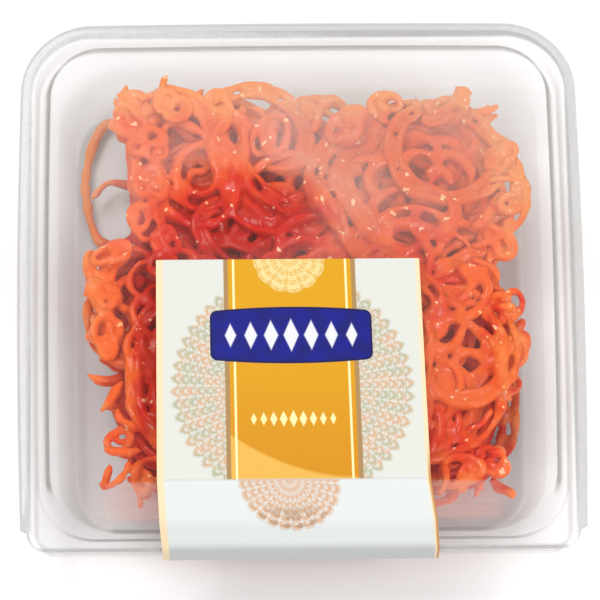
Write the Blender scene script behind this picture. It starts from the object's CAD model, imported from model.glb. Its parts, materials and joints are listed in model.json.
import json
import math
from collections import namedtuple

import bmesh
import bpy
import numpy as np
from mathutils import Matrix, Vector

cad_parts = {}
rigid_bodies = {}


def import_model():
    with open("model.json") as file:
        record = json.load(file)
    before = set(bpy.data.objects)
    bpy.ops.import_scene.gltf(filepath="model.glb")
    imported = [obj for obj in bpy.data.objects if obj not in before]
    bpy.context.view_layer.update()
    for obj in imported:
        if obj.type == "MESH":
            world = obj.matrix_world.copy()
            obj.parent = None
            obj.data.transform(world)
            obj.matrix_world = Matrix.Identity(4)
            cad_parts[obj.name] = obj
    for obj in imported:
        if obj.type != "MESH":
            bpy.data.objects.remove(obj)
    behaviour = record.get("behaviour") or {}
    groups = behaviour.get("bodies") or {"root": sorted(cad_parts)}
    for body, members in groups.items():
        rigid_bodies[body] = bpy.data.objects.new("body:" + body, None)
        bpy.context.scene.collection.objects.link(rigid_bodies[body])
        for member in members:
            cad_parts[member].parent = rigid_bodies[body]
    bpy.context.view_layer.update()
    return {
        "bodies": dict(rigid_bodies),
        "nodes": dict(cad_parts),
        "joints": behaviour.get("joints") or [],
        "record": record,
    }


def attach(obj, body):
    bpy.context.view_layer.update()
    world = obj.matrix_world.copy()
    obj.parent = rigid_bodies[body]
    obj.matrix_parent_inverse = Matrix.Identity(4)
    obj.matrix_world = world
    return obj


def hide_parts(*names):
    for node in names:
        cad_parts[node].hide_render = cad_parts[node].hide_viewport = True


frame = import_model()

# A shut clear box of jalebi: tub, domed lid, printed paper label, and the piped sweets in it.
# Metres, +Z up, front towards -Y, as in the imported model.
mm = 0.001
print("frame loaded")


def maths(operation, after=False):
    # a method that adds a Math node; after is for a wire on the operator's right
    def method(wire, *other):
        return wire.look.sum(operation, *other, wire) if after else wire.look.sum(operation, wire, *other)
    return method


class Wire:
    # one output socket of a node
    def __init__(self, look, socket):
        self.look = look
        self.socket = socket

    __add__ = maths("ADD")
    __radd__ = maths("ADD", after=True)
    __sub__ = maths("SUBTRACT")
    __rsub__ = maths("SUBTRACT", after=True)
    __mul__ = maths("MULTIPLY")
    __rmul__ = maths("MULTIPLY", after=True)
    __truediv__ = maths("DIVIDE")
    __rtruediv__ = maths("DIVIDE", after=True)
    __pow__ = maths("POWER")
    __abs__ = maths("ABSOLUTE")
    __lt__ = maths("LESS_THAN")


class Look:
    # a material being wired up
    def __init__(self, name):
        self.material = bpy.data.materials.new(name)
        self.material.use_nodes = True
        self.nodes = self.material.node_tree.nodes
        self.links = self.material.node_tree.links
        self.nodes.clear()

    def node(self, kind, sockets=None, settings=None, output=0):
        made = self.nodes.new("ShaderNode" + kind)
        for name, value in (settings or {}).items():
            setattr(made, name, value)
        for name, value in (sockets or {}).items():
            if isinstance(value, Wire):
                self.links.new(value.socket, made.inputs[name])
            else:
                made.inputs[name].default_value = value
        return Wire(self, made.outputs[output]) if made.outputs else None

    def sum(self, operation, *values):
        return self.node("Math", dict(enumerate(values)), {"operation": operation})

    def clamped(self, value):
        return self.node("Clamp", {0: value})

    def fade(self, value, low, high):
        # 0 at low, 1 at high, smooth between
        return self.node("MapRange", {0: value, 1: low, 2: high}, {"interpolation_type": "SMOOTHSTEP"})

    def blend(self, share, first, second):
        # one colour to another
        return self.node("Mix", {0: share, 6: first, 7: second}, {"data_type": "RGBA"}, 2)

    def noise(self, size, detail=2.0, place=None):
        # about 0.5 on average; size is the width of its lumps
        place = place or self.node("TexCoord", output=3)
        return self.node("TexNoise", {"Scale": 1 / size, "Detail": detail, "Vector": place})

    def bump(self, strength, depth, height):
        return self.node("Bump", {"Strength": strength, "Distance": depth, "Height": height})

    def parts(self, vector):
        split = self.node("SeparateXYZ", {0: vector})
        return [Wire(self, socket) for socket in split.socket.node.outputs]

    def finish(self, sockets):
        shader = self.node("BsdfPrincipled", sockets)
        self.node("OutputMaterial", {"Surface": shader})
        return self.material


def rgb(*levels):
    # a colour as screens give it, from 0 to 255, made linear
    shares = [level / 255 for level in levels]
    return (*(v / 12.92 if v < 0.04045 else ((v + 0.055) / 1.055) ** 2.4 for v in shares), 1.0)


def placed(name, data):
    made = bpy.data.objects.new(name, data)
    bpy.context.scene.collection.objects.link(made)
    return made


def addPiece(name, mesh, material, node):
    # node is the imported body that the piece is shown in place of
    made = placed(name, mesh)
    mesh.materials.append(material)
    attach(made, "root")
    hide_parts(node)


viewpoint = {
    "target": (-0.36 * mm, -4.7 * mm, 32 * mm),
    "distance": 1.6,
    "azimuth": -3.0,
    "elevation": 70.75,
    "roll": 2.4,
    "lens": 328,
    "farthest": 20,
}
studio = {
    "floorSize": 6,
    "floorGap": 0.3 * mm,
    "floorColour": (0.88, 0.88, 0.88, 1.0),
    "floorRoughness": 0.9,
    "worldColour": (1.0, 1.0, 1.0, 1.0),
    "worldStrength": 0.63,
    "lamps": (  # place, width, depth, watts
        ((-0.35, 0.45, 1.0), 0.6, 0.6, 5.2),
        ((0.6, -0.5, 0.9), 0.7, 0.7, 7.4),
        ((-0.45, 0.12, 0.95), 0.08, 0.08, 0.9),
    ),
}


def makeCamera():
    data = bpy.data.cameras.new("camera")
    data.lens = viewpoint["lens"]
    data.clip_end = viewpoint["farthest"]
    camera = placed("camera", data)
    turn = Matrix.Rotation(math.radians(viewpoint["azimuth"]), 4, "Z")
    tilt = Matrix.Rotation(math.radians(90 - viewpoint["elevation"]), 4, "X")
    roll = Matrix.Rotation(math.radians(viewpoint["roll"]), 4, "Z")
    away = Matrix.Translation((0, 0, viewpoint["distance"]))
    camera.matrix_world = Matrix.Translation(viewpoint["target"]) @ turn @ tilt @ roll @ away
    bpy.context.scene.camera = camera


def makeStudio():
    material = Look("floorPaint").finish({
        "Base Color": studio["floorColour"], "Roughness": studio["floorRoughness"]})
    bpy.ops.mesh.primitive_plane_add(size=studio["floorSize"], location=(0, 0, -studio["floorGap"]))
    floor = bpy.context.object
    floor.name = "floor"
    floor.data.materials.append(material)
    world = bpy.data.worlds.new("studioWorld")
    world.use_nodes = True
    background = world.node_tree.nodes["Background"]
    background.inputs["Color"].default_value = studio["worldColour"]
    background.inputs["Strength"].default_value = studio["worldStrength"]
    bpy.context.scene.world = world
    bpy.context.scene.view_settings.view_transform = "Standard"
    for number, (place, width, depth, watts) in enumerate(studio["lamps"]):
        data = bpy.data.lights.new(f"lamp{number}", "AREA")
        data.shape = "RECTANGLE"
        data.size = width
        data.size_y = depth
        data.energy = watts
        lamp = placed(f"lamp{number}", data)
        lamp.location = place
        lamp.rotation_euler = (-Vector(place)).to_track_quat("-Z", "Y").to_euler()


# tub and lid: each is a stack of rounded square rings
shell = {
    "cornerSteps": 12,
    "sideSteps": 10,
    "endSteps": 8,
    "bodyBow": 0.9 * mm,
    "rimBow": 1.5 * mm,
    "backBow": 0.6 * mm,
    "draft": 0.1 * mm,
    "frontCorner": 5 * mm,
    "bodyCorner": 15 * mm,
    "roundSteps": 4,
    "roundShare": 0.45,  # the most of a level that its rounding takes
    "lipStops": (0.04, 0.05),  # where the points of a side lie, as shares of its length:
    "sideSpan": (0.12, 0.94),  # two where a lip ends, and the even ones behind them
    "leastLip": 0.5 * mm,
    "sharpAngle": 40,
}
tub = {
    "wall": 0.5 * mm,
    "floorHalf": 65 * mm,
    "floorCorner": 12 * mm,
    "floorEdge": 1.5 * mm,
    "bodyHalf": 71 * mm,
    "collarHalf": 77.9 * mm,
    "collarFront": 79.1 * mm,
    "collarBottom": 19 * mm,
    "collarStep": 0.8 * mm,
    "rimHeight": 29 * mm,
    "lipHalf": 81.2 * mm,
    "lipBack": 82.8 * mm,
    "lipCorner": 20 * mm,
    "lipDrop": 1.2 * mm,
    "lipEnd": 73.9 * mm,
    "lipEndSlope": 0.9 * mm,
    "rimFront": 79.3 * mm,
    "rounding": 0.6 * mm,
}
lid = {
    "wall": 0.4 * mm,
    "panelHalf": 64.5 * mm,
    "panelFront": 61.5 * mm,
    "panelHeight": 37.6 * mm,
    "panelCorner": 10 * mm,
    "shoulderHalf": 73.5 * mm,
    "shoulderHeight": 35.5 * mm,
    "shoulderRound": 1 * mm,
    "grooveHalf": 76.2 * mm,
    "grooveDepth": 3.2 * mm,
    "grooveRound": 0.4 * mm,
    "grooveCorner": 16 * mm,
    "flangeHeight": 30.2 * mm,
    "flangeHalf": 78.9 * mm,
    "flangeFront": 78.6 * mm,
    "flangeBack": 80.4 * mm,
    "flangeCorner": 18 * mm,
    "rounding": 0.5 * mm,
}


def ring(height, half, front=None, back=None, frontCorner=None, backCorner=None, bow=None, narrow=None):
    # one level of a wall; narrow is the half width ahead of where a lip ends
    backCorner = backCorner or shell["bodyCorner"]
    bow = shell["bodyBow"] if bow is None else bow
    return np.array((height, half, front or half, back or half, frontCorner or backCorner,
                     backCorner, bow, narrow or half))


def roundedLevels(levels, rounding):
    # the same levels with each bend of the profile made round
    rounded = [levels[0]]
    for before, bend, after in zip(levels, levels[1:], levels[2:]):
        lengths = [np.linalg.norm((other - bend)[:2]) for other in (before, after)]
        cut = min(rounding, shell["roundShare"] * lengths[0], shell["roundShare"] * lengths[1])
        start = bend + (before - bend) * cut / lengths[0]
        end = bend + (after - bend) * cut / lengths[1]
        for t in np.linspace(0, 1, shell["roundSteps"]):
            rounded.append((1 - t) ** 2 * start + 2 * t * (1 - t) * bend + t ** 2 * end)
    return rounded + [levels[-1]]


def ringPoints(level):
    # the ring's points, anticlockwise from the middle of the front
    height, half, front, back, frontCorner, backCorner, bow, narrow = level
    quarter = np.linspace(0, math.pi / 2, shell["cornerSteps"] + 1)
    width = narrow - frontCorner
    low = -front + frontCorner
    high = back - backCorner
    right = [(x, -front) for x in np.linspace(0, width, shell["endSteps"], endpoint=False)]
    right += [(width + frontCorner * math.sin(a), low - frontCorner * math.cos(a)) for a in quarter]
    even = np.linspace(*shell["sideSpan"], shell["sideSteps"])
    stops = low + (high - low) * np.concatenate((shell["lipStops"], even))
    if half - narrow > shell["leastLip"]:
        stops[0] = -tub["lipEnd"]
        stops[1] = -tub["lipEnd"] + tub["lipEndSlope"]
    right.append((narrow, stops[0]))
    right += [(half, stop) for stop in stops[1:]]
    width = half - backCorner
    right += [(width + backCorner * math.cos(a), high + backCorner * math.sin(a)) for a in quarter]
    right += [(x, back) for x in np.linspace(width, 0, shell["endSteps"] + 1)[1:]]
    points = right + [(-x, y) for x, y in reversed(right[1:-1])]
    bowed = []
    for x, y in points:
        swellX = 1 + bow / half * (1 - (y / back) ** 2)
        swellY = 1 + shell["backBow"] / back * (1 - (x / half) ** 2) * (y > 0)
        bowed.append((x * swellX, y * swellY, height))
    return bowed


def makeShell(name, levels, rounding, wall, facesUp):
    # a skin through the rings, closed over the first, with its wall inside
    surface = bmesh.new()
    rows = [[surface.verts.new(point) for point in ringPoints(level)]
            for level in roundedLevels(levels, rounding)]
    count = len(rows[0])
    surface.faces.new(rows[0] if facesUp else rows[0][::-1])
    for inner, outer in zip(rows, rows[1:]):
        for i in range(count):
            j = (i + 1) % count
            corners = [inner[i], outer[i], outer[j], inner[j]]
            surface.faces.new(corners if facesUp else corners[::-1])
    return thickened(name, surface, wall, -1, True, shell["sharpAngle"])


def thickened(name, surface, thickness, side, even, sharpAngle):
    # the sheet's mesh; side is -1 for a wall within the surface and 1 for one on it
    mesh = bpy.data.meshes.new(name)
    surface.to_mesh(mesh)
    surface.free()
    holder = placed(name, mesh)
    wall = holder.modifiers.new("wall", "SOLIDIFY")
    wall.thickness = thickness
    wall.offset = side
    wall.use_even_offset = even
    made = applied(holder, name)
    made.shade_smooth()
    made.set_sharp_from_angle(angle=math.radians(sharpAngle))
    return made


def applied(holder, name):
    # the object's mesh with its modifiers applied; the object goes
    bpy.context.view_layer.update()
    seen = holder.evaluated_get(bpy.context.evaluated_depsgraph_get())
    made = bpy.data.meshes.new_from_object(seen)
    made.name = name
    old = holder.data
    bpy.data.objects.remove(holder)
    bpy.data.meshes.remove(old)
    return made


clear = {
    "colour": (0.68, 0.68, 0.67, 1.0),
    "edgeColour": (0.30, 0.28, 0.26, 1.0),
    "lipColour": (0.47, 0.47, 0.46, 1.0),
    "panelSee": 0.008,  # how much each side of the sheet shows face on
    "lidSee": 0.03,
    "collarSee": 0.036,
    "tubSee": 0.014,
    "lipSee": 0.42,
    "edge": 0.8,  # how much more of the lid shows edge on
    "flangeEdge": 0.4,  # the share of that on the flange
    "tubEdge": 0.4,
    "edgePower": 4,
    "shoulderLine": 0.62,  # the dark line under the lid's shoulder
    "panelEdge": (68 * mm, 62 * mm),  # in pairs: where a change starts and ends
    "flangeTop": (29.5 * mm, 31.5 * mm),
    "collarFoot": (18 * mm, 20 * mm),
    "lipReach": (78.6 * mm, 79.6 * mm),
    "lipHeight": (24 * mm, 27 * mm),
    "lineFoot": (30.5 * mm, 33 * mm),
    "lineTop": (36 * mm, 35.4 * mm),
    "lineFront": (-66 * mm, -60 * mm),
    "lineFacing": (0.25, 0.6),
    "darkFacing": (0.5, 0.9),
    "roughness": 0.1,
    "ior": 1.5,
    "specular": 0.8,
    "warp": 0.12,
    "warpHeight": 0.4 * mm,
    "warpSize": 14 * mm,
}
veil = {  # the mist of grease and syrup under the lid's panel
    "colour": (0.68, 0.63, 0.56, 1.0),
    "strength": 0.135,
    "patchSize": 22 * mm,
    "patchFade": (0.2, 0.7),
    "patches": (0.6, 0.5),  # at least, and how much more in a patch
    "fineSize": 4 * mm,
    "fine": (0.75, 0.5),
    "left": 0.5,  # how much of it is left of the middle
    "front": 0.15,  # and in front of the middle
    "leftFade": (-25 * mm, 0),
    "frontFade": (-8 * mm, 40 * mm),
    "sideFade": (71 * mm, 60 * mm),
    "endFade": (66 * mm, 58 * mm),
    "heightFade": (35.4 * mm, 36.6 * mm),
    "spotFade": (0.3, 1.7),
    "clearSpots": (  # where a sweet touches the lid: x, y, half width, half depth in mm, how clear
        (-18, 22, 25, 15, 0.95),
        (-41, -22, 9, 36, 0.95),
        (46, -50, 16, 13, 0.6),
        (61, -22, 9, 24, 0.8),
    ),
    "slopeColour": (0.64, 0.33, 0.29, 1.0),
    "slopeStrength": 0.27,
    "slopeTop": (-61.5 * mm, -62.5 * mm),
    "slopeFoot": (-74 * mm, -72 * mm),
    "slopeSide": (62 * mm, 50 * mm),
    "slopeLine": 2.2 * mm,
    "slopeLines": (0.7, 0.3),
    "slopeLineFade": (0.5, 0.95),
}


def touched(look, x, y):
    # 1 away from the clear spots, lower in them
    share = 1
    for spotX, spotY, width, depth, clean in veil["clearSpots"]:
        out = ((x - spotX * mm) / (width * mm)) ** 2 + ((y - spotY * mm) / (depth * mm)) ** 2
        share = share * (1 - clean * (1 - look.fade(out, *veil["spotFade"])))
    return share


def veilMask(look, x, y, z):
    # where mist lies under the panel
    least, more = veil["patches"]
    mask = look.fade(look.noise(veil["patchSize"]), *veil["patchFade"]) * more + least
    least, more = veil["fine"]
    mask = mask * (least + more * look.noise(veil["fineSize"], 3.0))
    mask = mask * (veil["left"] + (1 - veil["left"]) * look.fade(x, *veil["leftFade"]))
    mask = mask * (veil["front"] + (1 - veil["front"]) * look.fade(y, *veil["frontFade"]))
    inside = look.fade(abs(x), *veil["sideFade"]) * look.fade(abs(y), *veil["endFade"])
    return mask * touched(look, x, y) * inside * look.fade(z, *veil["heightFade"])


def slopeMask(look, x, y, z):
    # the front slope smears what lies behind it, with fine lines along it
    slope = look.fade(y, *veil["slopeTop"]) * look.fade(y, *veil["slopeFoot"])
    wave = look.sum("SINE", y / veil["slopeLine"] * (2 * math.pi))
    lines = look.fade(wave, *veil["slopeLineFade"])
    least, more = veil["slopeLines"]
    return slope * (least + more * lines) * look.fade(abs(x), *veil["slopeSide"])


def clearLook(name, see, veiled):
    # clearer in the lid's panel and the tub's body than in the thick rims
    look = Look(name)
    facing = look.node("LayerWeight", {"Blend": 0.5}, output=1)
    x, y, z = look.parts(look.node("TexCoord", output=3))
    frame = tub["lipHalf"] - tub["lipCorner"] + (tub["lipCorner"] - shell["frontCorner"]) * (y < 0)
    overX = look.sum("MAXIMUM", abs(x) - frame, 0)
    overY = look.sum("MAXIMUM", abs(y) - frame, 0)
    reach = (overX ** 2 + overY ** 2) ** 0.5 + frame
    out = look.sum("MAXIMUM", abs(x), abs(y))
    lip = look.fade(reach, *clear["lipReach"]) * look.fade(z, *clear["lipHeight"])
    grazing = facing ** clear["edgePower"]
    if veiled:
        see = see + (clear["panelSee"] - see) * look.fade(out, *clear["panelEdge"])
        line = look.fade(z, *clear["lineFoot"]) * look.fade(z, *clear["lineTop"])
        line = line * look.fade(y, *clear["lineFront"]) * look.fade(facing, *clear["lineFacing"])
        low = clear["flangeEdge"]
        shown = see + clear["edge"] * grazing * (low + (1 - low) * look.fade(z, *clear["flangeTop"]))
        shown = shown + clear["shoulderLine"] * line
    else:
        line = 0
        see = see + (clear["collarSee"] - see) * look.fade(z, *clear["collarFoot"])
        shown = see + clear["tubEdge"] * grazing
    shown = shown + (clear["lipSee"] - shown) * lip
    dark = look.clamped(look.fade(facing, *clear["darkFacing"]) + line)
    colour = look.blend(dark, clear["colour"], clear["edgeColour"])
    colour = look.blend(lip, colour, clear["lipColour"])
    if veiled:
        mist = veilMask(look, x, y, z) * veil["strength"]
        smear = slopeMask(look, x, y, z) * veil["slopeStrength"]
        colour = look.blend(look.clamped(mist / (shown + mist)), colour, veil["colour"])
        colour = look.blend(look.clamped(smear / (shown + smear)), colour, veil["slopeColour"])
        shown = shown + mist + smear
    normal = look.bump(clear["warp"], clear["warpHeight"], look.noise(clear["warpSize"], 1.0))
    return look.finish({
        "Base Color": colour,
        "Roughness": clear["roughness"],
        "IOR": clear["ior"],
        "Specular IOR Level": clear["specular"],
        "Alpha": look.clamped(shown),
        "Normal": normal,
    })


def makeTub():
    corner, draft, front = shell["frontCorner"], shell["draft"], tub["rimFront"]
    edge, step, rim = tub["floorEdge"], tub["collarStep"], tub["rimHeight"]
    lip = (corner, tub["lipCorner"], shell["rimBow"])
    levels = [
        ring(0, tub["floorHalf"], backCorner=tub["floorCorner"], bow=0),
        ring(edge, tub["floorHalf"] + edge, backCorner=tub["floorCorner"] + edge),
        ring(tub["collarBottom"], tub["bodyHalf"]),
        ring(tub["collarBottom"] + step, tub["collarHalf"] - step, tub["collarFront"] - draft,
             frontCorner=corner),
        ring(rim, tub["collarHalf"], tub["collarFront"], frontCorner=corner),
        ring(rim, tub["lipHalf"], front, tub["lipBack"], *lip, front),
        ring(rim - tub["lipDrop"], tub["lipHalf"] + draft, front + draft, tub["lipBack"] + draft,
             *lip, front + draft),
    ]
    mesh = makeShell("tubShell", levels, tub["rounding"], tub["wall"], facesUp=False)
    addPiece("tubShell", mesh, clearLook("clearTub", clear["tubSee"], veiled=False), "tub")
    print("tub made")


def makeLid():
    flange, turn, shoulder = lid["flangeHeight"], lid["grooveRound"], lid["shoulderRound"]
    groove, half, corner = flange - lid["grooveDepth"], lid["grooveHalf"], lid["grooveCorner"]
    levels = [
        ring(lid["panelHeight"], lid["panelHalf"], lid["panelFront"], lid["panelFront"],
             backCorner=lid["panelCorner"], bow=0),
        ring(lid["shoulderHeight"] + shoulder, lid["shoulderHalf"] - shoulder,
             backCorner=shell["bodyCorner"] - shoulder),
        ring(lid["shoulderHeight"], lid["shoulderHalf"]),
        ring(groove + turn, half - 2 * turn, backCorner=corner),
        ring(groove, half, backCorner=corner),
        ring(flange, half + turn, backCorner=corner),
        ring(flange, lid["flangeHalf"], lid["flangeFront"], lid["flangeBack"],
             shell["frontCorner"], lid["flangeCorner"], shell["rimBow"]),
    ]
    mesh = makeShell("lidShell", levels, lid["rounding"], lid["wall"], facesUp=True)
    addPiece("lidShell", mesh, clearLook("clearLid", clear["lidSee"], veiled=True), "lid")
    print("lid made")


# each sweet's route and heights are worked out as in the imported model
gap = 0.3 * mm
bed = {
    "half": 48 * mm,
    "squareness": 5,
    "height": 5.5 * mm,
    "bumps": 0.07,
    "bumpSize": 5.4 * mm,
    "lobes": ((7, 1.0, 0.035), (11, 2.2, 0.025)),
}
strand = {
    "radius": 2.1 * mm,
    "clearance": 0.7 * mm,
    "spacing": 7.8 * mm,
    "fine": 1500,
    "stroke": 0.86,
    "strokeTurn": 0.8 * math.pi,
    "rounds": 1500,
    "settled": 0.6,
    "stiffness": 0.2,
    "steepest": 0.45,
    "sag": 0.02 * mm,
}
lowest = tub["wall"] + gap + strand["radius"]
highest = lid["panelHeight"] - lid["wall"] - gap - strand["radius"]
shares = (0, 0.25, 0.5, 0.75, 1)
Sweet = namedtuple("Sweet", "x y radius squash turned turns start petal petals")
sweets = (
    Sweet(32, 32, 32, 1.03, 80, 1.3, 0.75, 0.30, 5.3),
    Sweet(-25, -29, 31, 1.02, 260, 1.3, 0.72, 0.30, 6.4),
    Sweet(34, -28, 32, 0.97, 140, 3.2, 0.18, 0.05, 5),
    Sweet(-55, 42.0, 13.6, 0.66, 0, 1.06, 0.98, 0.0, 1),
    Sweet(2, 34, 31, 0.95, 15, 3.1, 0.18, 0.05, 7),
    Sweet(-33, -7, 28, 1.04, 150, 1.3, 0.75, 0.30, 4.6),
    Sweet(3, -28, 31, 0.95, 285, 1.3, 0.72, 0.28, 5.7),
    Sweet(-40, 55, 12, 1.35, 20, 1.6, 0.45, 0.20, 4),
    Sweet(-17, 34, 29, 0.97, 40, 1.3, 0.72, 0.30, 5.6),
    Sweet(33, 32, 32, 0.96, 80, 3.3, 0.17, 0.05, 5),
    Sweet(33, -24, 32, 1.0, 170, 1.3, 0.72, 0.30, 4.4),
    Sweet(-26, -25, 28, 1.0, 50, 3.1, 0.18, 0.05, 5),
)


def swirl(sweet, spacing):
    # the strand's route seen from above, as points an even distance apart
    time = np.linspace(0, 1, strand["fine"])
    angle = 2 * math.pi * sweet.turns * time
    widening = sweet.start + (1 - sweet.start) * np.minimum(time / strand["stroke"], 1) ** 0.9
    back = np.clip((time - strand["stroke"]) / (1 - strand["stroke"]), 0, 1)
    reach = (1 - sweet.petal) * widening * np.cos(strand["strokeTurn"] * back ** 1.3)
    swing = sweet.petal * (1 - back)
    route = reach * np.exp(1j * angle) + swing * np.exp(1j * sweet.petals * angle)
    route = sweet.radius * (route.real * sweet.squash + 1j * route.imag / sweet.squash)
    route = (route * np.exp(1j * math.radians(sweet.turned)) + sweet.x + 1j * sweet.y) * mm
    along = np.concatenate(([0], np.cumsum(np.abs(np.diff(route)))))
    even = np.linspace(0, along[-1], round(along[-1] / spacing))
    return np.column_stack((np.interp(even, along, route.real), np.interp(even, along, route.imag)))


def bedHeight(x, y):
    # the top of the crushed sweets underneath, or the tub's floor beside them
    power = bed["squareness"]
    angle = np.arctan2(y, x)
    edge = 1 + sum(swing * np.sin(lobes * angle + start) for lobes, start, swing in bed["lobes"])
    out = (np.abs(x) ** power + np.abs(y) ** power) ** (1 / power) / (bed["half"] * edge)
    level = np.sqrt(np.clip(1 - out ** 6, 0, 1))
    along, across = x / bed["bumpSize"], y / bed["bumpSize"]
    bumps = bed["bumps"] * np.sin(along + np.sin(across / 1.5)) * np.sin(across + along / 4)
    return tub["wall"] + gap + bed["height"] * level * (1 + bumps * level)


def support(x, y):
    # the lowest that a strand's middle may run over a spot
    beside = np.radians(range(0, 360, 45))[:, None]
    reach = strand["radius"] + gap
    around = bedHeight(x + reach * np.cos(beside), y + reach * np.sin(beside))
    top = np.maximum(around.max(0), bedHeight(x, y))
    lowHalf = tub["floorHalf"] + tub["floorEdge"] - tub["wall"]
    rise = tub["collarBottom"] - tub["floorEdge"]
    slope = rise / (tub["bodyHalf"] - tub["floorHalf"] - tub["floorEdge"])
    wall = (np.maximum(np.abs(x), np.abs(y)) + reach - lowHalf) * slope
    return np.maximum(top + reach, wall)


def crossings(over, under, same):
    # where one strand passes over another, and how much higher it has to be there
    reach = 2 * strand["radius"] + strand["clearance"]
    skip = math.ceil(3 * reach / strand["spacing"])
    starts = under[:-1]
    steps = under[1:] - starts
    found = []
    for i in range(len(over) - 1):
        last = max(i - skip, 0) if same else len(starts)
        for share in shares:
            point = over[i] + share * (over[i + 1] - over[i])
            at = ((point - starts[:last]) * steps[:last]).sum(1) / (steps[:last] ** 2).sum(1)
            at = np.clip(at, 0, 1)
            apart = np.linalg.norm(starts[:last] + at[:, None] * steps[:last] - point, axis=1)
            found += [(i, share, j, at[j], math.sqrt(reach ** 2 - apart[j] ** 2))
                      for j in np.flatnonzero(apart < reach)]
    return found


def heap(routes):
    # the strands in space, settled until each passes over those laid before it
    firsts = np.cumsum([0] + [len(route) for route in routes])
    rows = []
    for over, upper in enumerate(routes):
        for under, lower in enumerate(routes[:over + 1]):
            rows += [(i + firsts[over], share, j + firsts[under], at, lift)
                     for i, share, j, at, lift in crossings(upper, lower, over == under)]
    rows = np.array(rows)
    i, j = rows[:, 0].astype(int), rows[:, 2].astype(int)
    share, at, lift = rows[:, 1], rows[:, 3], rows[:, 4]
    heights = np.repeat(np.linspace(lowest + bed["height"] / 2, highest, len(routes)), np.diff(firsts))
    inner = np.setdiff1d(np.arange(1, len(heights) - 1), np.concatenate((firsts, firsts - 1)))
    spots = np.concatenate(routes)
    starts = np.setdiff1d(np.arange(len(heights) - 1), firsts - 1)
    held = [(part, support(*(spots[starts] * (1 - part) + spots[starts + 1] * part).T)) for part in shares]
    steepest = strand["steepest"] * strand["spacing"]
    for turn in range(strand["rounds"]):
        if turn < strand["settled"] * strand["rounds"]:
            bend = heights[inner - 1] + heights[inner + 1] - 2 * heights[inner]
            heights[inner] += strand["stiffness"] * bend
            heights -= strand["sag"]
        climb = heights[starts + 1] - heights[starts]
        excess = (climb - np.clip(climb, -steepest, steepest)) / 2
        heights[starts] += excess
        heights[starts + 1] -= excess
        short = lift - (heights[i] * (1 - share) + heights[i + 1] * share
                        - heights[j] * (1 - at) - heights[j + 1] * at)
        push = np.maximum(short, 0) / 2
        up, down = np.zeros(len(heights)), np.zeros(len(heights))
        for ends, pushed in ((i, up), (i + 1, up), (j, down), (j + 1, down)):
            np.maximum.at(pushed, ends, push)
        heights = np.clip(heights + up - down, lowest, highest)
        for part, floor in held:
            lack = np.maximum(floor - heights[starts] * (1 - part) - heights[starts + 1] * part, 0)
            heights[starts] += lack
            heights[starts + 1] += lack
    return [np.column_stack((route, heights[first:first + len(route)]))
            for first, route in zip(firsts, routes)]


def curved(points, step):
    # a smooth curve through the points, sampled about a step apart
    padded = np.vstack((2 * points[0] - points[1], points, 2 * points[-1] - points[-2]))
    found = []
    for a, b, c, d in zip(padded, padded[1:], padded[2:], padded[3:]):
        count = max(2, round(np.linalg.norm(c - b) / step))
        for t in np.arange(count) / count:
            cubic = 2 * a - 5 * b + 4 * c - d + t * (3 * (b - c) + d - a)
            found.append(b + 0.5 * t * (c - a + t * cubic))
    return np.array(found + [points[-1]])


def wander(chance, count, wave):
    # smooth random numbers along a strand, from -1 to 1, with wave samples to a swing
    knots = chance.uniform(-1, 1, int(count / wave) + 4)
    at = np.linspace(1, len(knots) - 2.001, count)
    whole = at.astype(int)
    t = at - whole
    t = t * t * (3 - 2 * t)
    return knots[whole] * (1 - t) + knots[whole + 1] * t


piping = {
    "step": 1.0 * mm,
    "sides": 10,
    "thickest": 2.1 * mm,
    "thinnest": 0.95 * mm,
    "swell": 0.25,
    "swellWave": 14,
    "ripple": 0.3,
    "rippleWave": 2.5,
    "shake": 0.5 * mm,
    "shakeWave": 6,
    "tip": 3,
    "fuse": 0.65 * mm,
    "smoothing": 2,
    "smooth": 0.5,
    "spacing": 5 * mm,
    "thick": (0.56, 0.66),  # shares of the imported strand's radius
    "thickBeside": (0.6, 0.78),
    "fullSweet": 20,  # the radius from which a sweet has paired strands and companions
    "apart": 1.6 * mm,
    "companions": ((180, 0.95, 0.3), (95, 0.78, 0.8)),  # turned by, share of the radius, mm lower
    "nearby": 3 * mm,
}


def tube(points, radii, sides):
    # vertices and faces of a tube along the points, round at its ends
    ahead = np.gradient(points, axis=0)
    ahead /= np.linalg.norm(ahead, axis=1)[:, None]
    side = np.cross(ahead, (0, 0, 1))
    side /= np.linalg.norm(side, axis=1)[:, None]
    over = np.cross(side, ahead)
    around = np.linspace(0, 2 * math.pi, sides, endpoint=False)
    rings = (points[:, None] + radii[:, None, None]
             * (side[:, None] * np.cos(around)[:, None] + over[:, None] * np.sin(around)[:, None]))
    number = np.arange(len(points) * sides).reshape(-1, sides)
    turned = np.roll(number, -1, axis=1)
    quads = np.stack((number[:-1], number[1:], turned[1:], turned[:-1]), axis=-1).reshape(-1, 4)
    return rings.reshape(-1, 3), [list(row) for row in quads] + [list(number[0]), list(number[-1][::-1])]


def pipedStrand(points, chance, thick, sides=piping["sides"], step=piping["step"]):
    # an uneven, slightly shaky strand
    line = curved(points, step)
    count = len(line)
    wide = thick * (1 + piping["swell"] * wander(chance, count, piping["swellWave"])
                    + piping["ripple"] * wander(chance, count, piping["rippleWave"]))
    wide = np.clip(wide, piping["thinnest"], piping["thickest"])
    ends = np.minimum(np.arange(count), np.arange(count)[::-1]) / piping["tip"]
    wide *= np.sqrt(np.clip(1 - (1 - np.minimum(ends, 1)) ** 2, 0.08, 1))
    for axis in range(3):
        line[:, axis] += piping["shake"] * wander(chance, count, piping["shakeWave"])
    line[:, 2] = np.clip(line[:, 2], tub["wall"] + wide, lid["panelHeight"] - lid["wall"] - wide)
    return tube(line, wide, sides)


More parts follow.
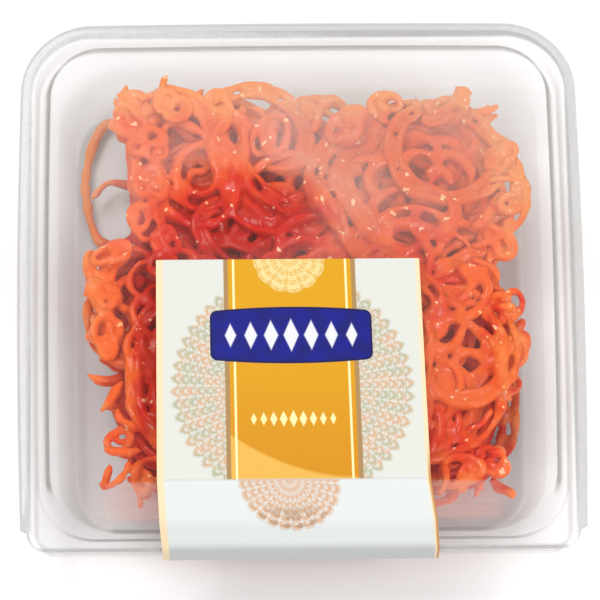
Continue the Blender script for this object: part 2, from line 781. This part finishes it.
def meshFrom(name, shapes):
    mesh = bpy.data.meshes.new(name)
    verts, faces, first = [], [], 0
    for shapeVerts, shapeFaces in shapes:
        verts.append(shapeVerts)
        faces += [[corner + first for corner in face] for face in shapeFaces]
        first += len(shapeVerts)
    mesh.from_pydata(np.concatenate(verts).tolist(), [], faces)
    mesh.update()
    return mesh


def fused(name, shapes, voxel):
    # the shapes melted into one skin, as syrup and frying join them
    holder = placed(name, meshFrom(name, shapes))
    remesh = holder.modifiers.new("fuse", "REMESH")
    remesh.mode = "VOXEL"
    remesh.voxel_size = voxel
    smooth = holder.modifiers.new("smooth", "SMOOTH")
    smooth.factor = piping["smooth"]
    smooth.iterations = piping["smoothing"]
    return applied(holder, name)


syrup = {
    "deep": rgb(186, 24, 4),
    "red": rgb(204, 52, 10),
    "redFade": (0.0, 0.5),
    "orange": rgb(218, 92, 24),
    "orangeFade": (0.3, 0.8),
    "pale": rgb(228, 150, 80),
    "glint": rgb(250, 214, 166),
    "glintSize": 2.4 * mm,
    "glintFade": (0.69, 0.74),
    "glintHeight": (25 * mm, 29 * mm),
    "glintShare": 0.75,
    "paleFade": (1.2, 1.8),
    "paleBack": 0.4,
    "paleShare": 0.7,
    "patchSize": 26 * mm,
    "tintSize": 6 * mm,
    "edgeFade": (44 * mm, 62 * mm),
    "backFade": (5 * mm, 55 * mm),
    "heightFade": (6 * mm, 34 * mm),
    "lighter": {"height": 0.75, "patches": 0.9, "tint": 0.95, "edge": 0.5, "back": 0.3},
    "wetter": 0.6,  # how much darker it is where it touches the lid
    "fillingDarker": 0.1,
    "lumpSize": 1.6 * mm,
    "grainSize": 0.6 * mm,
    "grain": 0.3,
    "bump": 0.7,
    "bumpHeight": 0.55 * mm,
    "subsurface": 0.35,
    "subsurfaceReach": 2.5 * mm,
    "subsurfaceColour": (1.0, 0.28, 0.12),
    "roughness": 0.29,  # where the tint is low
    "rougher": 0.14,
    "roughFade": (0.2, 0.8),
    "ior": 1.15,
    "gloss": 0.55,
    "glossRoughness": 0.1,
    "wetSize": 5 * mm,
    "wetFade": (0.42, 0.62),
    "glow": 0.04,
    "deepGlow": 0.14,
}


def syrupLook(name, dark, glow):
    look = Look(name)
    x, y, z = look.parts(look.node("TexCoord", output=3))
    out = look.sum("MAXIMUM", abs(x), abs(y))
    edge = look.fade(out, *syrup["edgeFade"])
    back = look.fade(y, *syrup["backFade"])
    patches = look.noise(syrup["patchSize"], 1.0)
    tint = look.noise(syrup["tintSize"])
    height = look.fade(z, *syrup["heightFade"])
    wet = syrup["wetter"] * (1 - touched(look, x, y))
    more = syrup["lighter"]
    light = more["height"] * height + more["patches"] * (patches - 0.5) + more["tint"] * (tint - 0.5)
    light = look.clamped(light + more["edge"] * edge - wet - dark + more["back"] * back)
    colour = look.blend(look.fade(light, *syrup["redFade"]), syrup["deep"], syrup["red"])
    colour = look.blend(look.fade(light, *syrup["orangeFade"]), colour, syrup["orange"])
    pale = look.fade(edge + tint + syrup["paleBack"] * back, *syrup["paleFade"]) * syrup["paleShare"]
    colour = look.blend(pale, colour, syrup["pale"])
    glint = look.fade(look.noise(syrup["glintSize"], 1.0), *syrup["glintFade"])
    glint = glint * look.fade(z, *syrup["glintHeight"]) * syrup["glintShare"]
    colour = look.blend(glint, colour, syrup["glint"])
    bumps = look.noise(syrup["lumpSize"]) + syrup["grain"] * look.noise(syrup["grainSize"])
    normal = look.bump(syrup["bump"], syrup["bumpHeight"], bumps)
    rough = look.fade(tint, *syrup["roughFade"]) * syrup["rougher"] + syrup["roughness"]
    coat = look.fade(look.noise(syrup["wetSize"]), *syrup["wetFade"]) * syrup["gloss"]
    return look.finish({
        "Base Color": colour,
        "Roughness": rough,
        "IOR": syrup["ior"],
        "Subsurface Weight": syrup["subsurface"],
        "Subsurface Radius": syrup["subsurfaceColour"],
        "Subsurface Scale": syrup["subsurfaceReach"],
        "Coat Weight": coat,
        "Coat Roughness": syrup["glossRoughness"],
        "Emission Color": syrup["deep"],
        "Emission Strength": glow,
        "Normal": normal,
    })


filling = {
    "lower": (5, 10.5, 16.5),  # heights in mm of the layers of each piece
    "upper": (21, 25, 28.5),
    "grid": (-1, 0, 1),
    "apart": 36,
    "jitter": 7,
    "radius": (19, 25),
    "thick": 1.45 * mm,
    "step": 1.8 * mm,
    "sides": 8,
    "wave": 1.6,
    "waveLength": 3,
    "squash": (0.92, 1.08),
    "rest": ((2.0, 3.2), (0.15, 0.4), (0.05, 0.25), (4, 6.5)),  # turns, start, petal, petals
    "fuse": 0.9 * mm,
    "ragged": 5,
}
curl = {
    "radius": 0.85,  # the share of a row's radius that its strand's middle keeps to
    "spacing": 2 * mm,
    "thick": 1.15 * mm,
    "fuse": 0.55 * mm,
    "squash": (0.8, 1.35),
    "rest": ((1.3, 2.3), (0.3, 0.7), (0.15, 0.4), (2.3, 4.4)),
}
broken = {  # the ends round the heap, in mm and radians
    "span": (-56.0, 57.0),
    "apart": 4,
    "jitter": 2,
    "depth": (7, 11),  # how far inside the outline they start
    "joints": (6, 9),
    "step": 1.6,
    "farthest": 66.5,
    "turns": (0.8, 0.25),  # the most at the first joint, and from each to the next
    "height": (17, 31),
    "climb": 0.6,
    "thick": (1.0, 1.6),
}
curls = (  # short rounds and ends at the heap's edge: x, y, height, radius in mm, turned
    (-47, 58, 29, 8, 20), (-38, 57, 31, 7, 140), (-25, 55, 30, 8, 250), (-50, 52, 30, 6, 320),
    (27, 56, 29, 7, 60), (43, 55, 30, 7, 200), (49, 59, 30, 3.5, 80), (60, 40, 29, 6, 300),
    (62, 27, 28, 6, 10), (58, 14, 28, 7, 120), (60, -6, 28, 8, 220), (63, -19, 28, 6, 340),
    (58, -30, 27, 7, 90), (55, -52, 26, 6, 190), (45, -56, 27, 7, 30), (-53, -46, 25, 6, 210),
    (-45, -56, 26, 7, 130), (-57, -14, 28, 7, 270), (-58, -2, 29, 6, 50), (-59, 8, 27, 7, 110),
    (-55, 11, 29, 6, 20), (-36, 6, 31, 9, 160), (-45, 45, 30, 7, 80), (-44, 33, 29, 7, 200),
    (-45, 21, 29, 7, 300), (-40, 13, 30, 7, 30), (2, 54, 30, 6, 15), (-8, 48, 31, 8, 75),
    (14, 50, 31, 7, 235),
)
outline = {  # the heap's outline in mm: how far it reaches at each place along the side
    "left": ((-62, 48), (-50, 56), (-40, 50), (-25, 60), (8, 61), (12, 58), (15, 50), (50, 50), (55, 55)),
    "right": ((-62, 50), (-54, 56), (-47, 53), (-38, 58), (-19, 66), (-5, 61), (10, 58), (32, 64), (54, 57)),
    "back": ((-54, 62), (-37, 64), (-18, 60), (-14, 54), (2, 58), (9, 53), (24, 60), (48, 63), (58, 54)),
    "front": ((-55, 60), (55, 61)),
}
loopHole = (12, 52)  # where the open loop lies beside the heap, from front to back in mm


def heldIn(route, ragged):
    # the route kept inside the heap's outline
    x, y = route.T / mm
    sides = {name: np.interp(y if name in ("left", "right") else x, *np.array(stops).T) - ragged
             for name, stops in outline.items()}
    x = np.clip(x, -sides["left"], sides["right"])
    y = np.clip(y, -sides["front"], sides["back"])
    return np.column_stack((x, y)) * mm


def drawn(chance, x, y, radius, turned, ranges):
    # a sweet whose form is drawn from the ranges, and its turn too where none is given
    squash = chance.uniform(*ranges["squash"])
    turned = chance.uniform(0, 360) if turned is None else turned
    return Sweet(x, y, radius, squash, turned, *(chance.uniform(*span) for span in ranges["rest"]))


def fillingShapes(chance, heights):
    shapes = []
    for height in heights:
        for across in filling["grid"]:
            for along in filling["grid"]:
                x = across * filling["apart"] + chance.uniform(-1, 1) * filling["jitter"]
                y = along * filling["apart"] + chance.uniform(-1, 1) * filling["jitter"]
                sweet = drawn(chance, x, y, chance.uniform(*filling["radius"]), None, filling)
                route = heldIn(swirl(sweet, piping["spacing"]), chance.uniform(0, filling["ragged"]))
                low = support(*route.T) - gap
                wave = filling["wave"] * wander(chance, len(route), filling["waveLength"])
                top = np.column_stack((route, np.maximum(low, (height + wave) * mm)))
                shapes.append(pipedStrand(top, chance, filling["thick"], filling["sides"], filling["step"]))
    return shapes


def curlShapes(chance):
    shapes = []
    for x, y, height, radius, turned in curls:
        sweet = drawn(chance, x, y, curl["radius"] * radius, turned, curl)
        route = swirl(sweet, curl["spacing"])
        rise = filling["wave"] * wander(chance, len(route), filling["waveLength"])
        top = np.column_stack((route, (height + rise) * mm))
        shapes.append(pipedStrand(top, chance, curl["thick"], filling["sides"]))
    return shapes


def endShapes(chance):
    # broken ends that stick out all round the heap
    shapes = []
    step = broken["step"]
    for name, stops in outline.items():
        for along in np.arange(*broken["span"], broken["apart"]):
            along += chance.uniform(-1, 1) * broken["jitter"]
            start = np.interp(along, *np.array(stops).T) - chance.uniform(*broken["depth"])
            count = chance.integers(*broken["joints"])
            aim, bend = chance.uniform(-1, 1, 2) * broken["turns"]
            angles = aim + bend * np.arange(count)
            out = np.minimum(start + np.cumsum(np.cos(angles)) * step, broken["farthest"])
            aside = along + np.cumsum(np.sin(angles)) * step
            height = chance.uniform(*broken["height"])
            height = height + np.cumsum(chance.uniform(-1, 1, count)) * broken["climb"]
            thick = chance.uniform(*broken["thick"]) * mm
            if name == "left" and loopHole[0] < along < loopHole[1]:
                continue
            x, y = {"left": (-out, aside), "right": (out, aside),
                    "back": (aside, out), "front": (aside, -out)}[name]
            points = np.column_stack((x, y, height)) * mm
            shapes.append(pipedStrand(points, chance, thick, filling["sides"]))
    return shapes


def addFood(name, mesh, material, node):
    mesh.shade_smooth()
    addPiece(name, mesh, material, node)
    print(name, "made", len(mesh.polygons), "faces")


def makeFilling():
    # more sweets under and between those on top, crushed together
    material = syrupLook("syrupedFilling", syrup["fillingDarker"], syrup["deepGlow"])
    chance = np.random.default_rng(7)
    mesh = meshFrom("fillingLower", fillingShapes(chance, filling["lower"]))
    addFood("fillingLower", mesh, material, "jalebi_bed")
    mesh = fused("fillingUpper", fillingShapes(chance, filling["upper"]), filling["fuse"])
    addFood("fillingUpper", mesh, material, "jalebi_bed")
    mesh = fused("edgeCurls", curlShapes(chance) + endShapes(chance), curl["fuse"])
    addFood("edgeCurls", mesh, material, "jalebi_bed")


def besides(sweet, points, chance):
    # further rounds of the same sweet, at the height of the strand beside them
    shapes = []
    for turned, share, lower in piping["companions"] if sweet.radius > piping["fullSweet"] else ():
        other = sweet._replace(turned=sweet.turned + turned, radius=sweet.radius * share)
        route = swirl(other, piping["spacing"])
        apart = ((route[:, None] - points[None, :, :2]) ** 2).sum(2)
        near = 1 / (apart + piping["nearby"] ** 2) ** 2
        level = (near * points[:, 2]).sum(1) / near.sum(1) - lower * mm
        top = np.column_stack((route, level))
        thick = strand["radius"] * chance.uniform(*piping["thickBeside"])
        shapes.append(pipedStrand(top, chance, thick))
    return shapes


def makeSweets():
    material = syrupLook("syrupedJalebi", 0, syrup["glow"])
    chance = np.random.default_rng(21)
    laid = heap([swirl(sweet, strand["spacing"]) for sweet in sweets])
    for number, (sweet, points) in enumerate(zip(sweets, laid), 1):
        thick = strand["radius"] * chance.uniform(*piping["thick"])
        ahead = np.gradient(points[:, :2], axis=0)
        ahead /= np.linalg.norm(ahead, axis=1)[:, None]
        side = np.column_stack((ahead[:, 1], -ahead[:, 0], np.zeros(len(points)))) * piping["apart"]
        shapes = [pipedStrand(points + way * side, chance, thick)
                  for way in ((-1, 1) if sweet.radius > piping["fullSweet"] else (0,))]
        shapes += besides(sweet, points, chance)
        name = f"jalebi{number:02d}"
        addFood(name, fused(name, shapes, piping["fuse"]), material, f"jalebi_{number}")


label = {
    "thickness": 0.25 * mm,
    "top": 6.3 * mm,
    "bottom": 21.4 * mm,
    "left": (-42.4, -42.4, -41.8, -41.0, -41.0),
    "right": (34.5, 36.6, 38.4, 39.0, 39.0),
    "columns": 24,
    "step": 1.2 * mm,
    "bend": 1.6 * mm,
    "sharpAngle": 50,
    "width": 79,
    "middle": 0.505,
}


def labelPath():
    # from its top edge over the panel, the shoulder and the rim, and down
    front = tub["rimFront"] + tub["lipDrop"]
    shoulder = lid["shoulderHeight"] + lid["shoulderRound"]
    return np.array([
        (-label["top"], lid["panelHeight"] + gap),
        (lid["panelFront"], lid["panelHeight"] + gap),
        (lid["shoulderHalf"] + shell["draft"], shoulder),
        (front, lid["flangeHeight"] + gap),
        (front, label["bottom"]),
    ])


def makeLabel():
    path = labelPath()
    lengths = np.concatenate(([0], np.cumsum(np.linalg.norm(np.diff(path, axis=0), axis=1))))
    stops = np.linspace(0, lengths[-1], round(lengths[-1] / label["step"]))
    surface = bmesh.new()
    place = surface.verts.layers.float_vector.new("place")
    rows = []
    for stop in stops:
        near = np.clip(stop + np.linspace(-label["bend"], label["bend"], 9), 0, lengths[-1])
        forward = np.interp(near, lengths, path[:, 0]).mean()
        height = np.interp(near, lengths, path[:, 1]).mean()
        left = np.interp(stop, lengths, label["left"])
        right = np.interp(stop, lengths, label["right"])
        row = []
        for share in np.linspace(0, 1, label["columns"] + 1):
            vert = surface.verts.new(((left + (right - left) * share) * mm, -forward, height))
            vert[place] = ((share - label["middle"]) * label["width"], stop / mm, 0)
            row.append(vert)
        rows.append(row)
    for upper, lower in zip(rows, rows[1:]):
        for i in range(label["columns"]):
            surface.faces.new((upper[i], lower[i], lower[i + 1], upper[i + 1]))
    mesh = thickened("labelSheet", surface, label["thickness"], 1, False, label["sharpAngle"])
    addPiece("labelSheet", mesh, printLook(), "label")
    print("label made")


ink = {  # lengths in mm on the label: across from its middle, down from its top edge
    "paper": rgb(206, 207, 200),
    "fibreSize": 0.4 * mm,
    "fibreHeight": 0.05 * mm,
    "fibre": 0.15,
    "roughness": 0.42,
    "rougher": 0.12,
    "specular": 0.2,
    "flap": rgb(208, 212, 210),
    "grey": rgb(184, 186, 186),
    "greyFrom": (85.8, 89.5),
    "edge": rgb(186, 136, 84),
    "edgePale": rgb(228, 206, 168),
    "edgeWide": (1.9, 1.3),
    "goldOut": (0.1, 0.4),
    "goldUp": 12,
    "band": rgb(206, 149, 10),
    "bandLow": rgb(198, 132, 12),
    "bandFade": (20, 70),
    "bandHalf": 18.4,
    "bandEnd": 67.8,
    "bandSoft": 0.1,
    "sharp": 0.2,
    "foldWide": (0.5, 0.15),
    "fold": 0.4,
    "lineIn": 1.6,
    "lineWide": (0.45, 0.2),
    "swooshBend": 13,
    "swooshUp": 0.5,
    "swooshFade": (-0.6, 0.6),
    "line": rgb(250, 228, 170),
    "olive": rgb(160, 126, 80),
    "oliveOut": (1.2, 1.5),
    "swoosh": rgb(218, 168, 74),
    "beige": rgb(160, 158, 122),
    "pink": rgb(198, 150, 108),
    "tintSize": 4,
    "tintFade": (0.35, 0.65),
    "spot": rgb(150, 116, 84),
    "cream": rgb(222, 204, 144),
    "lace": (36.0, 54, 15),  # the rosettes' radius, petals and rounds
    "laceShow": (0.55, 0.22),  # how much their colour shows on the thread, and between
    "laceDown": 40.0,
    "smallLace": (11.0, 12, 4),
    "smallShow": (0.5, 0.4),
    "flapLace": (15.0, 24, 7),
    "flapShow": (0.55, 0.25),
    "flapSpots": (14.55, 11, 2),
    "spotsShow": 0.5,
    "spotsFade": (6, 10),
    "flapLaceAt": (-1.8, 68.2),
    "plaque": (24.0, 15.2, 32.6, 2.0, 1.2),  # half its width, top, bottom, corner, bow
    "blue": rgb(8, 16, 126),
    "blueEdge": rgb(10, 12, 76),
    "blueRim": (0.1, -0.1),  # past the corner's round: where the dark rim fades in
    "blueField": (-0.5, -0.8),  # and where the field inside it does
    "cloud": 0.5,
    "cloudSize": 5,
    "cloudFade": (0.3, 0.7),
    "ornament": rgb(226, 226, 232),
    "dotsDown": 49.5,
    "dotsShow": 0.85,
    "dots": (9, 2.9, 1.4, 2.9),  # how many lozenges, how far apart, half their width and height
    "row": (7, 6.0, 2.6, 5.6),
    "rowShow": 0.9,
    "shrink": 0.3,  # how much smaller a row's last lozenges are
    "lozengeSoft": 0.22,
}
lace = {  # how a rosette is woven, in shares of its radius
    "ringWave": 0.022,
    "rimWave": 0.025,
    "rim": (0.95, 1.0),
    "petalTurn": 1.5,
    "petalWave": 0.7,
    "ring": (0.1, 0.5),
    "lattice": (0.1, 0.4),
}


def rosette(look, x, y, radius, petals, rounds):
    # a lace ring pattern: 1 on its thread, 0 in its holes and outside it
    far = ((x ** 2 + y ** 2) ** 0.5) / radius
    angle = look.sum("ARCTAN2", y, x)
    wave = look.sum("SINE", angle * petals)
    finer = look.sum("SINE", angle * (petals * 2) + lace["petalTurn"])
    rings = look.sum("SINE", (far + lace["ringWave"] * wave) * (rounds * 2 * math.pi))
    turn = far * (rounds * 3 * math.pi)
    lattice = look.sum("SINE", turn + angle * petals) * look.sum("SINE", turn - angle * petals)
    thread = look.fade(rings + lace["petalWave"] * finer * wave, *lace["ring"])
    thread = look.sum("MAXIMUM", thread, look.fade(lattice, *lace["lattice"]))
    edge = 1 - look.fade(far + lace["rimWave"] * wave, *lace["rim"])
    return thread * edge, edge


def woven(thread, edge, shares):
    # how much of a rosette's colour shows
    return thread * shares[0] + edge * shares[1]


def lozenges(look, x, y, count, apart, wide, high):
    # a row of plain lozenges about the middle, the middle ones the largest
    near = look.sum("WRAP", x, apart / 2, -apart / 2)
    size = 1 - ink["shrink"] * look.clamped(abs(x) / (count / 2 * apart))
    out = abs(near) / wide + abs(y) / high
    return look.fade(out, size, size - ink["lozengeSoft"]) * (abs(x) < (count / 2 * apart))


def roundedBox(look, wide, y, half, top, bottom, corner, bow):
    # how far a place lies from the inner frame of a box with round corners
    middle = (top + bottom) / 2
    high = (bottom - top) / 2 - corner - bow * (wide / half) ** 2
    overX = look.sum("MAXIMUM", wide - (half - corner), 0)
    overY = look.sum("MAXIMUM", abs(y - middle) - high, 0)
    return (overX ** 2 + overY ** 2) ** 0.5


def bandLook(look, x, y):
    # the amber band with its light lines, half a lace and the swoosh
    half = ink["bandHalf"]
    amber = look.blend(look.fade(y, *ink["bandFade"]), ink["band"], ink["bandLow"])
    small, smallEdge = rosette(look, x, y, *ink["smallLace"])
    amber = look.blend(woven(small, smallEdge, ink["smallShow"]), amber, ink["cream"])
    foot = ink["bandEnd"] - ink["swooshUp"]
    swing = y - foot + ink["swooshBend"] * ((half - x) / (2 * half)) ** 2
    amber = look.blend(look.fade(swing, *ink["swooshFade"]), amber, ink["swoosh"])
    line = look.fade(abs(abs(x) - half + ink["lineIn"]), *ink["lineWide"])
    amber = look.blend(line, amber, ink["line"])
    dots = lozenges(look, x, y - ink["dotsDown"], *ink["dots"])
    return look.blend(dots * ink["dotsShow"], amber, ink["line"])


def plaqueLook(look, colour, x, y):
    # the deep blue plaque, bare but for a row of lozenges
    top, bottom, corner = ink["plaque"][1:4]
    rim, field = ([corner + step for step in ink[name]] for name in ("blueRim", "blueField"))
    out = roundedBox(look, abs(x), y, *ink["plaque"])
    colour = look.blend(look.fade(out, *rim), colour, ink["blueEdge"])
    cloud = look.fade(look.noise(ink["cloudSize"], 1.0, look.place), *ink["cloudFade"]) * ink["cloud"]
    deep = look.blend(cloud, ink["blue"], ink["blueEdge"])
    colour = look.blend(look.fade(out, *field), colour, deep)
    row = lozenges(look, x, y - (top + bottom) / 2, *ink["row"])
    return look.blend(row * ink["rowShow"], colour, ink["ornament"])


def printLook():
    look = Look("labelPrint")
    look.place = look.node("Attribute", settings={"attribute_name": "place"}, output=1)
    x, y, z = look.parts(look.place)
    wide = abs(x)
    end = ink["bandEnd"]
    sharp = ink["sharp"]
    onPanel = 1 - look.fade(y, end - sharp, end + sharp)
    colour = look.blend(onPanel, ink["flap"], ink["paper"])
    tint = look.fade(look.noise(ink["tintSize"], 1.0, look.place), *ink["tintFade"])
    thread = look.blend(tint, ink["beige"], ink["pink"])
    big, bigEdge = rosette(look, x, y - ink["laceDown"], *ink["lace"])
    colour = look.blend(woven(big, bigEdge, ink["laceShow"]) * onPanel, colour, thread)
    half, soft = ink["bandHalf"], ink["bandSoft"]
    strip = (1 - look.fade(wide, *(half + out for out in ink["oliveOut"]))) * onPanel
    colour = look.blend(strip, colour, ink["olive"])
    inBand = (1 - look.fade(wide, half - soft, half + soft)) * onPanel
    colour = look.blend(inBand, colour, bandLook(look, x, y))
    colour = plaqueLook(look, colour, x, y)
    aside, down = x - ink["flapLaceAt"][0], y - ink["flapLaceAt"][1]
    flap, flapEdge = rosette(look, aside, down, *ink["flapLace"])
    onFlap = 1 - onPanel
    colour = look.blend(woven(flap, flapEdge, ink["flapShow"]) * onFlap, colour, ink["pink"])
    spots = rosette(look, aside, down, *ink["flapSpots"])[0]
    spots = spots * look.fade(down, *ink["spotsFade"]) * onFlap * ink["spotsShow"]
    colour = look.blend(spots, colour, ink["spot"])
    colour = look.blend(look.fade(y, *ink["greyFrom"]), colour, ink["grey"])
    colour = look.blend(look.fade(abs(y - end), *ink["foldWide"]) * ink["fold"], colour, ink["grey"])
    inner, outer = (label["width"] / 2 - edge for edge in ink["edgeWide"])
    colour = look.blend(look.fade(wide, inner, outer), colour, ink["edgePale"])
    gold = look.fade(x, *(outer + out for out in ink["goldOut"])) * look.fade(y, end - ink["goldUp"], end)
    colour = look.blend(gold, colour, ink["edge"])
    fibres = look.noise(ink["fibreSize"])
    normal = look.bump(ink["fibre"], ink["fibreHeight"], fibres)
    return look.finish({
        "Base Color": colour,
        "Roughness": ink["roughness"] + ink["rougher"] * fibres,
        "Specular IOR Level": ink["specular"],
        "Normal": normal,
    })


makeCamera()
makeStudio()
makeTub()
makeLid()
makeLabel()
makeSweets()
makeFilling()

print("sizes written")
